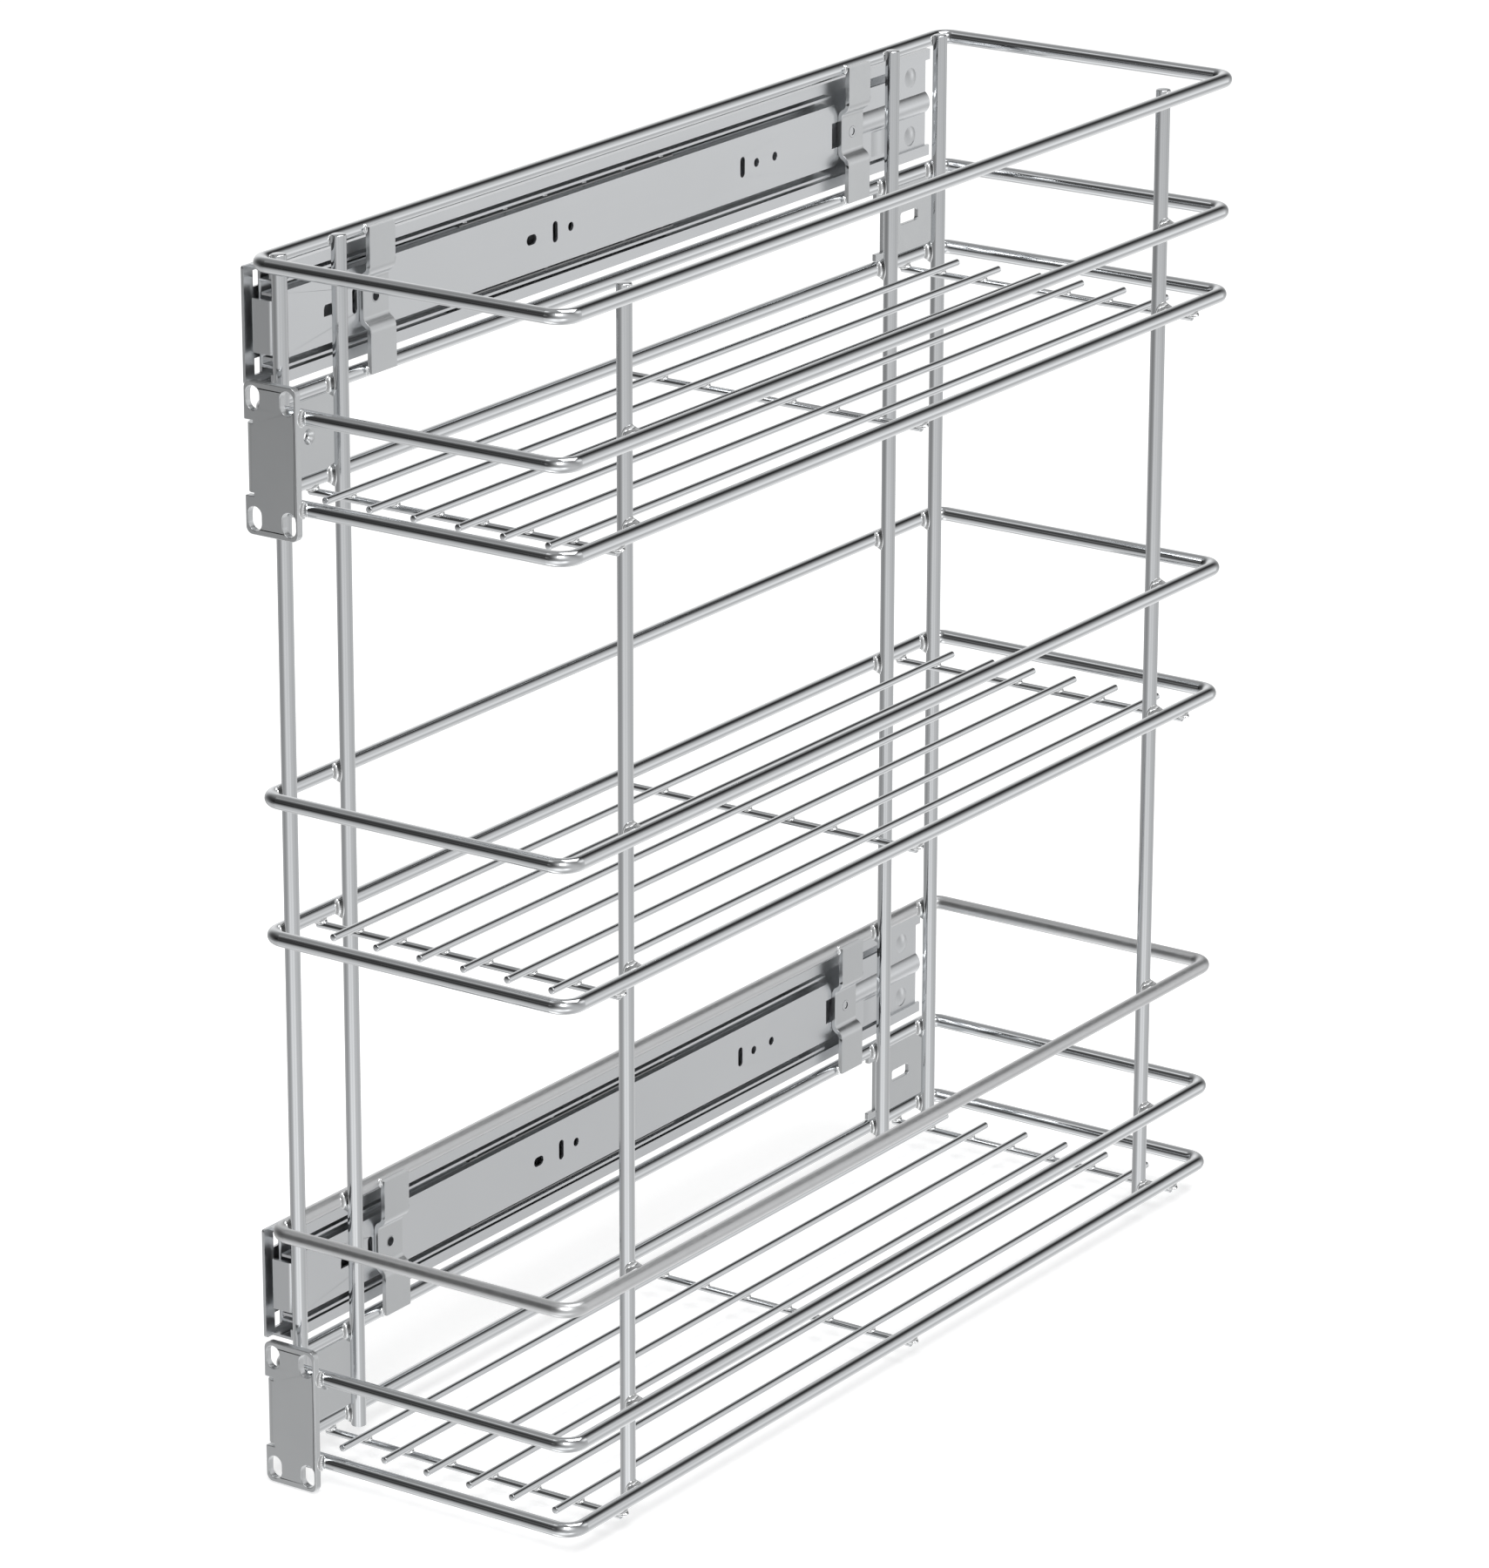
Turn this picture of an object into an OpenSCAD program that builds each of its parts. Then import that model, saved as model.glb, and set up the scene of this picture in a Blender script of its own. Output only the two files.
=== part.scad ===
// Pull out larder unit: a narrow three tier wire basket that runs out of a
// kitchen cabinet on two side mounted ball bearing slides.
// Millimetres. +Z is up, -Y is the cabinet's front, +X leads away from the
// cabinet side that carries the slides. The origin lies on that side's face,
// in the middle of the four screw holes.

/* [Wire rings] */
// Width of a ring, over its wire
ring_w = 147.5; // [130:0.5:260]
// Depth of a ring from front to back, over its wire
ring_d = 476; // [460:1:520]
// Diameter of the ring wire
ring_wire = 6; // [5:0.5:7]
// Corner radius of a ring, on the wire's centre line
ring_corner = 7; // [6:0.5:12]
// Rise from a basket's base ring to its next ring
base_to_mid = 35.4; // [32:0.1:45]
// Height of the middle base ring above the lowest one
middle_rise = 213.3; // [170:0.1:260]
// Gap left at each welded crossing of two wires
weld_gap = 0.02; // [0.01:0.01:0.05]

/* [Posts] */
// Diameter of the upright wires
post_wire = 6; // [5:0.5:7]
// Front left post behind the ring's corner
front_post_past_corner = 0.6; // [0.2:0.1:4]
// Rear left post before the ring's corner
rear_post_past_corner = 3.5; // [0.5:0.1:6]
// Second left post behind the front wires
second_post_in = 44; // [40:0.5:54]
// Third left post before the rear wires
third_post_in = 47; // [44:0.5:48]
// Right front post behind the front wires
right_front_post_in = 46; // [40:0.5:60]
// Right rear post before the rear wires
right_rear_post_in = 44; // [40:0.5:60]
// Length of the posts below the lowest ring's centre line
post_foot = 4.5; // [3:0.1:10]
// Length of the posts above the top ring's centre line
post_top = 2.5; // [0:0.1:8]

/* [Floors] */
// Diameter of the floor wires
floor_wire = 3; // [2:0.1:4]
// Number of long wires in a floor
long_wires = 6; // [4:1:7]
// Pitch of the long wires
long_pitch = 20.6; // [16:0.1:21]
// Long wires start this far inside the ring's front and rear wires
long_setback = 16; // [6:0.5:22]
// First cross wire behind the front wires
cross_front_in = 32.3; // [26:0.1:36]
// Last cross wire before the rear wires
cross_rear_in = 27.8; // [24:0.1:36]
// Cross wires run this far past the side wires' centre lines
cross_over = 0.5; // [0:0.1:2]

/* [Slides] */
// Height of a slide
slide_h = 45.7; // [42:0.1:50]
// Thickness of a slide
slide_t = 12.7; // [12.2:0.1:16]
// Length of the outer rail
slide_len = 455; // [430:1:500]
// Height between the two slides, centre to centre
slide_pitch = 387.15; // [360:0.05:460]
// Clear space between a slide and the ring wires above and below it
slide_gap = 1.9; // [1:0.1:5]
// Outer rail's front behind the ring's front wires
rail_setback = 9; // [6:0.5:14]
// Side wires' centre line inboard of the slide's face
wire_offset = 0.5; // [0.1:0.1:3]
// Travel of the basket
travel = 450; // [380:5:460]
// Sheet of the rails
rail_sheet = 1.2; // [1:0.05:1.4]
// Width of the outer rail's lips
lip_w = 4.45; // [3.5:0.05:5]
// Outer rail's lips behind the slide's face
lip_in = 1.3; // [0.8:0.1:2]
// Middle rail's edges behind the slide's face
middle_edge_in = 0.8; // [0.5:0.1:1.4]
// Depth of the inner rail's flanges
inner_depth = 6.2; // [4:0.1:7]
// Middle rail's front behind the outer rail's front
middle_front_in = 7; // [4:0.5:10]
// Middle rail's rear before the outer rail's rear
middle_rear_in = 76; // [74:0.5:90]
// Inner rail's front behind the outer rail's front
inner_front_in = 2.3; // [1:0.1:5]
// Inner rail's rear before the outer rail's rear
inner_rear_in = 71; // [70.5:0.5:80]
// Corner radius at the inner rail's rear
inner_corner = 5; // [3:0.5:6]
// Height of the inner rail's rear tab
rear_tab_h = 14; // [12:0.5:15]
// Length of the inner rail's rear tab
rear_tab_l = 16.5; // [15:0.5:17]
// Height of the inner rail's front tab
tab_h = 21; // [14:0.5:24]
// Gap between the inner rail's front tab and the cabinet's side
tab_wall_gap = 3.2; // [2:0.1:5]

/* [Balls and cages] */
// Diameter of the outer balls
outer_ball = 4.76; // [4.5:0.01:5]
// Diameter of the inner balls
inner_ball = 3; // [2.6:0.1:3.2]
// Balls in a row
row_balls = 6; // [3:1:9]
// Gap between a ball and its race
race_gap = 0.02; // [0.01:0.01:0.05]
// Depth of the race grooves
race_depth = 0.1; // [0.05:0.01:0.2]
// Sheet of the cages
cage_sheet = 0.6; // [0.5:0.05:0.7]
// Gap between a cage and the rails' webs
cage_gap = 0.4; // [0.35:0.05:0.5]
// Gap between a ball and its hole in the cage
pocket_gap = 0.07; // [0.04:0.01:0.1]
// Cage edge beyond its balls
cage_edge = 0.9; // [0.6:0.1:1.1]
// Cage end beyond its last ball's centre
cage_end = 6; // [4:0.5:12]
// Spare length at a cage's end when the basket is out
cage_spare = 1.5; // [0.5:0.5:6]

/* [Slide holes and stops] */
// Screw holes in the outer rail, first one behind its front
screw_setback = 37; // [30:1:48]
// Distance between the two screw holes of a rail
screw_pitch = 352; // [320:32:352]
// Diameter of the screw holes
screw_hole = 5; // [4:0.1:6.3]
// Diameter of the screwdriver hole in the middle rail
access_hole = 9; // [8:0.5:12]
// Corner radius at the outer rail's front
rail_corner = 1; // [0.5:0.1:3.5]
// Outer rail's flanges start behind its front
flange_setback = 4; // [3.5:0.5:5]
// Length of the windows at the outer rail's front
window_l = 4.5; // [2:0.1:5]
// Height of the windows at the outer rail's front
window_h = 6.4; // [4:0.1:7]
// Windows behind the outer rail's front
window_in = 5.6; // [4.5:0.1:8]
// Windows above and below the rail's middle
window_z = 17; // [15:0.1:18]
// Length of the rear stop
stop_l = 51.5; // [48:0.5:52]
// Rear stop before the outer rail's rear
stop_in = 1.5; // [1:0.1:3]
// Length of the rear stop's flanges, from its rear
stop_flange_l = 23.5; // [18:0.5:28]
// Top of the rear stop's narrow front above the slide's middle
stop_top = 14; // [13:0.1:18]
// Bottom of the rear stop's narrow front below the slide's middle
stop_bottom = 17.5; // [16:0.1:19]
// Half height of the rear stop's rib
rib_half = 4.5; // [3:0.1:4.8]
// Rise of the rear stop's rib
rib_rise = 2.3; // [1.5:0.1:2.4]
// Diameter of the rear stop's bosses
boss_d = 8.5; // [4:0.5:9]
// Rise of the rear stop's bosses
boss_rise = 1; // [0.3:0.1:1.2]
// Bosses above and below the rib
boss_z = 12.5; // [11:0.1:13]
// Length of the rear stop's crowned pad
pad_l = 11; // [6:0.5:14]
// Height of the rear stop's crowned pad
pad_h = 10.5; // [6:0.5:11]
// Rise of the rear stop's crowned pad
pad_rise = 0.6; // [0.3:0.1:0.8]
// Pad's middle before the rear stop's rear
pad_in = 36; // [34:0.5:38]
// Pad's middle below the slide's middle
pad_drop = 10.5; // [10.5:0.1:11.5]

/* [Inner rail holes] */
// Arched window behind the inner rail's front
arch_in = 34.9; // [28:0.1:40]
// Width of the arched window
arch_w = 7; // [5:0.1:8]
// Height of the arched window
arch_h = 4.5; // [4:0.1:6]
// Tall front slot behind the inner rail's front
front_slot_in = 50.5; // [48:0.1:51]
// Width of the tall front slot
front_slot_w = 3; // [2:0.1:3.4]
// Height of the tall front slot
front_slot_h = 10; // [6:0.1:12]
// Oval hole behind the inner rail's front
oval_in = 164.5; // [155:0.1:168]
// Width of the oval hole
oval_w = 6.5; // [5:0.1:8]
// Height of the oval hole
oval_h = 4; // [3:0.1:4.5]
// Diameter of the plain round holes
round_hole = 3.6; // [3:0.1:4]
// Width of the two adjusting slots
adjust_w = 3.3; // [3:0.1:4]
// Height of the two adjusting slots
adjust_h = 8.5; // [6:0.1:12]
// Front adjusting slot behind the inner rail's front
front_adjust_in = 180.3; // [176:0.1:184]
// Front round hole behind the inner rail's front
front_round_in = 190.8; // [188:0.1:200]
// Rear adjusting slot before the inner rail's rear
rear_adjust_in = 71; // [68:0.1:74]
// First rear round hole before the inner rail's rear
first_round_in = 60.9; // [57:0.1:64]
// Second rear round hole before the inner rail's rear
second_round_in = 47.6; // [42:0.1:52]
// Square slot before the inner rail's rear
rear_slot_in = 3.1; // [3.1:0.1:12]
// Width of the square slot
rear_slot_w = 4.6; // [3:0.1:5]
// Height of the square slot
rear_slot_h = 10.7; // [6:0.1:12]

/* [Clips and rivets] */
// Width of a clip
clip_w = 16; // [12:0.5:20]
// Sheet of the clips
clip_t = 2; // [1.5:0.1:2.5]
// Half height of a clip's foot on the inner rail
foot_half = 7; // [5:0.1:8]
// Half height where the clip reaches the wires' plane
joggle_half = 12.7; // [11:0.1:16]
// Clip ends beyond the wires' centre lines
clip_past = 0.95; // [0:0.05:3]
// Front clips behind the inner rail's front
front_clip_in = 61.2; // [60:0.1:90]
// Rear clips behind the inner rail's rear, on its tab
rear_clip_past = 7; // [6.5:0.1:8]
// Diameter of the rivets
rivet_d = 4.6; // [4:0.1:6]
// Bore of the hollow front rivets
rivet_bore = 4; // [3:0.1:4]
// Gap between a rivet and its hole
rivet_gap = 0.03; // [0.02:0.01:0.05]
// Diameter of a rivet's tail behind the inner rail
tail_d = 7; // [6.5:0.1:8]
// Height of a rivet's tail
tail_h = 0.9; // [0.6:0.1:1.2]
// Dish diameter in the rear rivets
dish_d = 3.2; // [2:0.1:3.6]
// Dish depth in the rear rivets
dish_depth = 0.6; // [0.3:0.1:1]

/* [Door brackets] */
// Sheet of the door brackets
plate_t = 3; // [2:0.1:3.5]
// Width of a door plate
plate_w = 24.5; // [23:0.5:40]
// Corner radius of a door plate
plate_corner = 3; // [1:0.5:3]
// Length of the slots in a door plate
door_slot_l = 9.4; // [8:0.1:12]
// Width of the slots in a door plate
door_slot_w = 6.3; // [5:0.1:6.5]
// Distance between the two columns of slots
door_slot_pitch = 16.1; // [14:0.1:17]
// Slot middles beyond the bracket's wires
door_slot_past_wire = 2.7; // [2.6:0.1:5]
// Plate edge beyond the slots
door_slot_edge = 1.6; // [1:0.1:5]
// Plates overhang the side wires' centre line
plate_over = 1.3; // [1:0.1:2.5]
// Inside radius of a bracket's bend
bend_r = 0.5; // [0.3:0.1:1]
// Half height of the relief notches beside the bend
notch_half = 1.25; // [0.8:0.05:2]
// Depth of a relief notch, from the plate's edge
notch_depth = 4; // [3.8:0.1:5]
// Length of the side flange, from the plate's front
flange_l = 54; // [42:0.5:60]
// Flange shoulder behind the plate's front
shoulder_in = 8; // [6:0.5:12]
// Flange hole behind the plate's front
flange_hole_in = 35.5; // [30:0.5:38]
// Diameter of the flange hole
flange_hole = 3; // [2.5:0.1:5]
// Countersink diameter of the flange hole
sink_d = 6.5; // [6:0.1:9]
// Countersink depth of the flange hole
sink_depth = 1.7; // [1:0.1:1.9]

/* [Rear brackets] */
// Sheet of the rear brackets
rear_t = 2; // [1.5:0.1:3]
// Front edge of a rear bracket before the ring's rear wires
rear_plate_front_in = 44.5; // [42:0.5:50]
// Rear edge of a rear bracket before the ring's rear wires
rear_plate_rear_in = 5; // [4:0.5:8]
// Slot middle before the ring's rear wires
rear_slot_mid_in = 24.6; // [22:0.1:28]
// Length of a rear bracket's slot
rear_slot_l = 13.4; // [10:0.1:16]
// Width of a rear bracket's slot
rear_slot_t = 5.2; // [5:0.1:8]
// Corner radius of a rear bracket's slot
rear_slot_corner = 1.2; // [0.5:0.1:2]
// Length of the ears at a rear bracket's front
ear_l = 5.5; // [3:0.5:8]
// Height of the ears at a rear bracket's front
ear_h = 3; // [2:0.1:5]
// Depth of the turned rear edge
turn_l = 5; // [4.5:0.5:7]

/* [Hidden] */
$fn = 48;
// A cut starts and ends this far outside what it cuts
cut = 1;
// The two bends of a clip's step lap by this angle, so that they join
bend_lap = 0.02;

// Heights
upper_z = slide_pitch / 2;
lower_z = -slide_pitch / 2;
guard_half = slide_h / 2 + slide_gap + ring_wire / 2;
bracket_drop = guard_half + base_to_mid / 2;
base_drop = guard_half + base_to_mid;
middle_base_z = lower_z - base_drop + middle_rise;

// Rail ends along Y
rail_front = -screw_setback - screw_pitch / 2;
rail_rear = rail_front + slide_len;
middle_front = rail_front + middle_front_in;
middle_rear = rail_rear - middle_rear_in;
inner_front = rail_front + inner_front_in;
inner_rear = rail_rear - inner_rear_in;

// Ring centre lines
ring_front = rail_front - rail_setback;
ring_rear = ring_front + ring_d - ring_wire;
ring_left = slide_t + wire_offset;
ring_right = ring_left + ring_w - ring_wire;
ring_mid_x = (ring_left + ring_right) / 2;

// Posts and floors
post_in = (ring_wire + post_wire) / 2 + weld_gap;
cross_drop = (ring_wire + floor_wire) / 2 + weld_gap;
long_drop = cross_drop - floor_wire - weld_gap;

// Slide section, X measured from the cabinet's side and Z from the slide's middle
outer_race = slide_h / 2 - rail_sheet + race_depth;
outer_ball_z = outer_race - race_gap - outer_ball / 2;
middle_half = outer_ball_z - outer_ball / 2 - race_gap + race_depth;
inner_race = middle_half - rail_sheet + race_depth;
inner_ball_z = inner_race - race_gap - inner_ball / 2;
inner_half = inner_ball_z - inner_ball / 2 - race_gap + race_depth;
lip_face = slide_t - lip_in;
lip_back = lip_face - rail_sheet;
outer_cage_x = rail_sheet + cage_gap;
middle_x = outer_cage_x + cage_sheet + cage_gap;
middle_edge = slide_t - middle_edge_in;
inner_cage_x = middle_x + rail_sheet + cage_gap;
inner_back = slide_t - inner_depth;
outer_ball_x = (rail_sheet + lip_back) / 2;
inner_ball_x = (inner_back + middle_edge) / 2;

// Cages keep to both of their rails over the whole travel
outer_cage_front = rail_front + flange_setback + travel / 4 + cage_spare;
outer_cage_rear = middle_rear - travel / 4 - cage_spare;
inner_cage_front = middle_front + travel / 4 + cage_spare;
inner_cage_rear = inner_rear - inner_corner - travel / 4 - cage_spare;

// Clips: two equal bends make the step from the foot to the wires' plane
clip_foot_x = slide_t + weld_gap;
clip_end_x = ring_left + ring_wire / 2 + weld_gap;
clip_step = clip_end_x - clip_foot_x;
clip_run = joggle_half - foot_half;
clip_bend_r = (clip_step + clip_run * clip_run / clip_step) / 4 - clip_t / 2;
clip_turn = 2 * atan(clip_step / clip_run);
front_clip_y = inner_front + front_clip_in;
rear_clip_y = inner_rear + rear_clip_past;

// Brackets
plate_left = ring_left - plate_over;
plate_front = ring_front - ring_wire / 2 - weld_gap - plate_t;
bracket_half = (base_to_mid - ring_wire) / 2 - weld_gap;
bend_half = bracket_half + weld_gap - notch_half;
door_slot_z = (base_to_mid + ring_wire) / 2 + door_slot_past_wire;
plate_half = door_slot_z + door_slot_l / 2 + door_slot_edge;

// A straight round bar along X from x0 to x1
module bar_x(d, x0, x1, y, z) {
    translate([x0, y, z])
        rotate([0, 90, 0])
            cylinder(d = d, h = x1 - x0);
}

// A straight round bar along Y from y0 to y1
module bar_y(d, x, y0, y1, z) {
    translate([x, y0, z])
        rotate([-90, 0, 0])
            cylinder(d = d, h = y1 - y0);
}

// A box given by its low and high corners
module box(low, high) {
    translate(low)
        cube(high - low);
}

// A slot right through in X, with round ends; the longer side gives its direction
module slot_x(y, z, len_y, len_z, x0, x1) {
    w = min(len_y, len_z);
    run_y = (len_y - w) / 2;
    run_z = (len_z - w) / 2;
    for (s = [-1, 1])
        bar_x(w, x0, x1, y + s * run_y, z + s * run_z);
    box([x0, y - max(run_y, w / 2 * sign(run_z)), z - max(run_z, w / 2 * sign(run_y))],
        [x1, y + max(run_y, w / 2 * sign(run_z)), z + max(run_z, w / 2 * sign(run_y))]);
}

// A level slot right through in X, with small round corners
module square_slot_x(y, z, len_y, len_z, r, x0, x1) {
    box([x0, y - len_y / 2 + r, z - len_z / 2], [x1, y + len_y / 2 - r, z + len_z / 2]);
    box([x0, y - len_y / 2, z - len_z / 2 + r], [x1, y + len_y / 2, z + len_z / 2 - r]);
    for (i = [-1, 1], k = [-1, 1])
        bar_x(2 * r, x0, x1, y + i * (len_y / 2 - r), z + k * (len_z / 2 - r));
}

// One quarter of a ring's bend, at a corner of the ring
module ring_bend(x, y, start) {
    translate([x, y, 0])
        rotate([0, 0, start])
            rotate_extrude(angle = 90)
                translate([ring_corner, 0])
                    circle(d = ring_wire);
}

// A closed wire ring at height z
module ring(z) {
    x0 = ring_left + ring_corner;
    x1 = ring_right - ring_corner;
    y0 = ring_front + ring_corner;
    y1 = ring_rear - ring_corner;
    color("silver")
        translate([0, 0, z])
            union() {
                bar_x(ring_wire, x0, x1, ring_front, 0);
                bar_x(ring_wire, x0, x1, ring_rear, 0);
                bar_y(ring_wire, ring_left, y0, y1, 0);
                bar_y(ring_wire, ring_right, y0, y1, 0);
                ring_bend(x0, y0, 180);
                ring_bend(x1, y0, 270);
                ring_bend(x1, y1, 0);
                ring_bend(x0, y1, 90);
            }
}

// An upright wire over the basket's whole height
module post(x, y) {
    color("gainsboro")
        translate([x, y, lower_z - base_drop - post_foot])
            cylinder(d = post_wire, h = slide_pitch + base_drop + guard_half + post_foot + post_top);
}

// The cross wires under a floor whose base ring is at height z
module cross_wires(z) {
    y0 = ring_front + cross_front_in;
    y1 = ring_rear - cross_rear_in;
    color("gainsboro")
        for (y = [y0, (y0 + y1) / 2, y1])
            bar_x(floor_wire, ring_left - cross_over, ring_right + cross_over, y, z - cross_drop);
}

// The long wires of a floor, lying on its cross wires
module long_floor_wires(z) {
    color("gainsboro")
        for (i = [0 : long_wires - 1])
            bar_y(floor_wire, ring_mid_x + (i - (long_wires - 1) / 2) * long_pitch,
                  ring_front + long_setback, ring_rear - long_setback, z - long_drop);
}

// A door bracket: slotted plate across the front wires, with a side flange
module door_bracket(z) {
    slot_x0 = plate_left + plate_w / 2 - door_slot_pitch / 2;
    bend = bend_r + plate_t;
    back = plate_front + plate_t;
    color("darkgray")
        translate([0, 0, z])
            difference() {
                union() {
                    difference() {
                        translate([plate_left, back, 0])
                            rotate([90, 0, 0])
                                linear_extrude(plate_t)
                                    plate_outline();
                        box([plate_left - cut, plate_front - cut, -bracket_half],
                            [plate_left + notch_depth, back + cut, bracket_half]);
                    }
                    box([plate_left + bend, plate_front, -bend_half],
                        [plate_left + notch_depth, back, bend_half]);
                    translate([plate_left + bend, plate_front + bend, -bend_half])
                        rotate([0, 0, 180])
                            rotate_extrude(angle = 90)
                                translate([bend_r, 0])
                                    square([plate_t, 2 * bend_half]);
                    box([plate_left, plate_front + bend, -bend_half],
                        [plate_left + plate_t, plate_front + shoulder_in, bend_half]);
                    box([plate_left, plate_front + shoulder_in, -bracket_half],
                        [plate_left + plate_t, plate_front + flange_l, bracket_half]);
                }
                for (i = [0, 1], s = [-1, 1])
                    door_slot(slot_x0 + i * door_slot_pitch, s * door_slot_z);
                bar_x(flange_hole, plate_left - cut, plate_left + plate_t + cut,
                      plate_front + flange_hole_in, 0);
                translate([plate_left + plate_t - sink_depth, plate_front + flange_hole_in, 0])
                    rotate([0, 90, 0])
                        cylinder(d1 = flange_hole, d2 = sink_d, h = sink_depth);
            }
}

// A door plate's outline, standing on its left edge and centred in height
module plate_outline() {
    r = plate_corner;
    difference() {
        translate([0, -plate_half])
            square([plate_w, 2 * plate_half]);
        for (i = [0, 1], s = [-1, 1])
            translate([i * plate_w, s * plate_half])
                mirror([i, 0])
                    mirror([0, s > 0 ? 1 : 0])
                        difference() {
                            translate([-cut, -cut])
                                square(r + cut);
                            translate([r, r])
                                circle(r = r);
                        }
    }
}

// An upright slot through a door plate
module door_slot(x, z) {
    run = (door_slot_l - door_slot_w) / 2;
    for (s = [-1, 1])
        bar_y(door_slot_w, x, plate_front - cut, plate_front + plate_t + cut, z + s * run);
    box([x - door_slot_w / 2, plate_front - cut, z - run],
        [x + door_slot_w / 2, plate_front + plate_t + cut, z + run]);
}

// A rear bracket between the two rear left posts
module rear_bracket(z) {
    y0 = ring_rear - rear_plate_front_in;
    y1 = ring_rear - rear_plate_rear_in;
    face = plate_left + rear_t;
    bend = bend_r + rear_t;
    color("silver")
        translate([0, 0, z])
            difference() {
                union() {
                    box([plate_left, y0, -bracket_half], [face, y1 - bend, bracket_half]);
                    for (s = [0, 1])
                        box([plate_left, y0 - ear_l, -bracket_half + s * (2 * bracket_half - ear_h)],
                            [face, y0, -bracket_half + ear_h + s * (2 * bracket_half - ear_h)]);
                    translate([plate_left - bend_r, y1 - bend, -bracket_half])
                        rotate_extrude(angle = 90)
                            translate([bend_r, 0])
                                square([rear_t, 2 * bracket_half]);
                    box([face - turn_l, y1 - rear_t, -bracket_half],
                        [plate_left - bend_r, y1, bracket_half]);
                }
                square_slot_x(ring_rear - rear_slot_mid_in, 0, rear_slot_l, rear_slot_t, rear_slot_corner,
                              plate_left - cut, face + cut);
            }
}

// One arm of a clip's section: two bends, then the flat end behind the ring wire
module clip_arm() {
    mid_r = clip_bend_r + clip_t / 2;
    translate([clip_foot_x + clip_t / 2 + mid_r, foot_half, 0])
        mirror([1, 0, 0])
            clip_bend();
    translate([clip_end_x + clip_t / 2 - mid_r, joggle_half, 0])
        mirror([0, 1, 0])
            clip_bend();
    box([clip_end_x, joggle_half, 0], [clip_end_x + clip_t, guard_half + clip_past, clip_w]);
}

// One bend of a clip
module clip_bend() {
    rotate_extrude(angle = clip_turn + bend_lap)
        translate([clip_bend_r, 0])
            square([clip_t, clip_w]);
}

// A clip that ties the inner rail to the two ring wires beside it
module clip(y, z) {
    color("darkgray")
        translate([0, y, z])
            difference() {
                translate([0, clip_w / 2, 0])
                    rotate([90, 0, 0])
                        union() {
                            box([clip_foot_x, -foot_half, 0], [clip_foot_x + clip_t, foot_half, clip_w]);
                            for (s = [0, 1])
                                mirror([0, s, 0])
                                    clip_arm();
                        }
                bar_x(rivet_d + 2 * rivet_gap, clip_foot_x - cut, clip_foot_x + clip_t + cut, 0, 0);
            }
}

// A rivet through a clip's foot and the inner rail's web
module rivet(y, z, hollow) {
    face = clip_foot_x + clip_t;
    tail = slide_t - rail_sheet - weld_gap;
    color("dimgray")
        translate([0, y, z])
            difference() {
                union() {
                    bar_x(rivet_d, tail - tail_h, face, 0, 0);
                    bar_x(tail_d, tail - tail_h, tail, 0, 0);
                }
                if (hollow)
                    bar_x(rivet_bore, tail - tail_h - cut, face + cut, 0, 0);
                if (!hollow)
                    bar_x(dish_d, face - dish_depth, face + cut, 0, 0);
            }
}

// The outer rail: web on the cabinet's side, flanges and lips above and below
module outer_rail(z) {
    half = slide_h / 2;
    flange_front = rail_front + flange_setback;
    color("darkgray")
        translate([0, 0, z])
            difference() {
                union() {
                    box([0, rail_front + rail_corner, -half], [rail_sheet, rail_rear, half]);
                    box([0, rail_front, rail_corner - half],
                        [rail_sheet, rail_front + rail_corner, half - rail_corner]);
                    for (s = [-1, 1])
                        rail_nose(s * (half - rail_corner));
                    for (s = [0, 1])
                        mirror([0, 0, s]) {
                            box([0, flange_front, half - rail_sheet], [lip_face, rail_rear, half]);
                            box([lip_back, flange_front, half - lip_w], [lip_face, rail_rear, half]);
                        }
                }
                for (s = [-1, 1])
                    race(outer_ball, outer_ball_x, s * outer_ball_z);
                for (y = [-screw_pitch / 2, screw_pitch / 2])
                    bar_x(screw_hole, -cut, rail_sheet + cut, y, 0);
                for (s = [-1, 1])
                    box([-cut, rail_front + window_in, s * window_z - window_h / 2],
                        [rail_sheet + cut, rail_front + window_in + window_l, s * window_z + window_h / 2]);
            }
}

// Rounded front corner of the outer rail's web
module rail_nose(z) {
    bar_x(2 * rail_corner, 0, rail_sheet, rail_front + rail_corner, z);
}

// The space that a row of balls sweeps along the rails
module race(ball, x, z) {
    bar_y(ball + 2 * race_gap, x, rail_front - cut, rail_rear + cut, z);
}

// The middle rail: web next to the outer cage, flanges between the two ball rows
module middle_rail(z) {
    color("gray")
        translate([0, 0, z])
            difference() {
                union() {
                    box([middle_x, middle_front, -middle_half],
                        [middle_x + rail_sheet, middle_rear, middle_half]);
                    for (s = [0, 1])
                        mirror([0, 0, s])
                            box([middle_x, middle_front, middle_half - rail_sheet],
                                [middle_edge, middle_rear, middle_half]);
                }
                for (s = [-1, 1]) {
                    race(outer_ball, outer_ball_x, s * outer_ball_z);
                    race(inner_ball, inner_ball_x, s * inner_ball_z);
                }
                bar_x(access_hole, middle_x - cut, middle_x + rail_sheet + cut, -screw_pitch / 2, 0);
            }
}

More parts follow.
